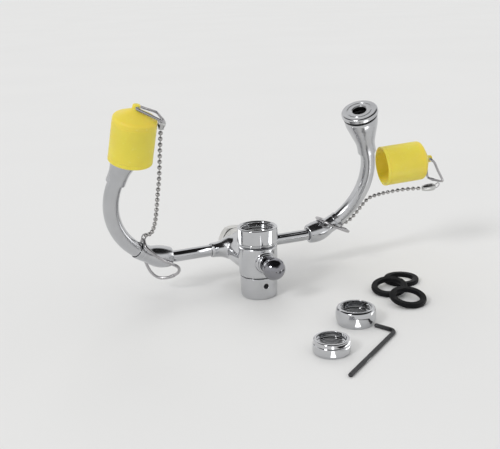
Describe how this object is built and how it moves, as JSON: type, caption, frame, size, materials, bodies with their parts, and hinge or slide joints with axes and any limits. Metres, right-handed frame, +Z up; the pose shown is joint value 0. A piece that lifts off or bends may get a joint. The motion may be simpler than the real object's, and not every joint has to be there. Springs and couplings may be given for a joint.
{
  "type": "faucet-mounted eyewash station",
  "caption": "Tap-mounted eyewash with a diverter body, curved arms that carry spray heads, tethered dust caps and a loose fitting kit.",
  "frame": {"origin": "under the middle of the whole set, at the level of the surface it stands on, with the chains and their couplings left out", "axes": "+Z up along the inlet and outlet, +X along the arms towards the bare spray head, -Y the side with the diverter knob"},
  "size_m": [0.2597, 0.1994, 0.1476],
  "materials": {
    "chrome": "bright plated",
    "dark_chrome": "dark plated",
    "brass": "machined",
    "stainless_steel": "drawn wire and sheet",
    "black_oxide_steel": "black oxide",
    "black_rubber": "matt",
    "yellow_plastic": "moulded, soft sheen",
    "white_acetal": "moulded"
  },
  "bodies": {
    "frame": {"aerator_housing": "white_acetal", "aerator_screen": "stainless_steel", "aerator_washer": "black_rubber", "bonnet_seal": "black_rubber", "diverter_gland": "chrome", "gland_seal": "black_rubber", "inlet_strainer": "stainless_steel", "inlet_washer": "black_rubber", "left_arm_bend": "chrome", "left_arm_tube": "chrome", "left_arm_union": "chrome", "left_chain": "stainless_steel", "left_flow_regulator": "white_acetal", "left_nozzle_insert": "black_oxide_steel", "left_spray_head": "chrome", "left_tether_ring": "stainless_steel", "neck_snap_ring": "stainless_steel", "nozzle_set_screw": "black_oxide_steel", "nozzle_thread_ring": "brass", "outlet_nozzle": "chrome", "rear_bonnet": "chrome", "right_arm_bend": "chrome", "right_arm_tube": "chrome", "right_arm_union": "chrome", "right_flow_regulator": "white_acetal", "right_nozzle_insert": "black_oxide_steel", "right_spray_head": "chrome", "right_tether_ring": "stainless_steel", "valve_body": "chrome"},
    "coupling_nut": {"coupling_nut": "chrome"},
    "diverter": {"diverter_stem": "stainless_steel", "diverter_spool": "brass", "spool_seal": "black_rubber", "diverter_knob": "dark_chrome"},
    "left_cap": {"left_dust_cap": "yellow_plastic", "left_cap_loop": "stainless_steel", "left_chain_coupling": "stainless_steel"},
    "right_cap": {"right_dust_cap": "yellow_plastic", "right_cap_loop": "stainless_steel", "right_chain_coupling": "stainless_steel", "right_chain": "stainless_steel"},
    "adapter_small": {"adapter_small": "chrome"},
    "adapter_large": {"adapter_large": "chrome"},
    "hex_key": {"hex_key": "black_oxide_steel"},
    "washer_1": {"washer_1": "black_rubber"},
    "washer_2": {"washer_2": "black_rubber"},
    "washer_3": {"washer_3": "black_rubber"}
  },
  "joints": [
    {"name": "coupling_nut_spin", "type": "hinge", "parent": "frame", "child": "coupling_nut", "pos_m": [-0.0236, 0.0459, 0.0458], "axis": [0, 0, 1], "continuous": true},
    {"name": "diverter_pull", "type": "slide", "parent": "frame", "child": "diverter", "axis": [0, -1, 0], "range_m": [0, 0.008]},
    {"name": "left_cap_lift", "type": "slide", "parent": "frame", "child": "left_cap", "axis": [0.1101, -0.2701, 0.9565], "range_m": [0, 0.01], "deforming": ["left_chain"]},
    {"name": "right_cap_swing", "type": "hinge", "parent": "frame", "child": "right_cap", "pos_m": [0.0604, 0.0869, 0.03], "axis": [0, 1, 0], "range_deg": [0, 40]},
    {"name": "adapter_small_lift", "type": "slide", "parent": "frame", "child": "adapter_small", "axis": [0, 0, 1], "range_m": [0, 0.05]},
    {"name": "adapter_large_lift", "type": "slide", "parent": "frame", "child": "adapter_large", "axis": [0, 0, 1], "range_m": [0, 0.05]},
    {"name": "hex_key_lift", "type": "slide", "parent": "frame", "child": "hex_key", "axis": [0, 0, 1], "range_m": [0, 0.05]},
    {"name": "washer_1_lift", "type": "slide", "parent": "frame", "child": "washer_1", "axis": [0, 0, 1], "range_m": [0, 0.05]},
    {"name": "washer_2_lift", "type": "slide", "parent": "washer_1", "child": "washer_2", "axis": [0, 0, 1], "range_m": [0, 0.05]},
    {"name": "washer_3_lift", "type": "slide", "parent": "washer_2", "child": "washer_3", "axis": [0, 0, 1], "range_m": [0, 0.05]}
  ]
}
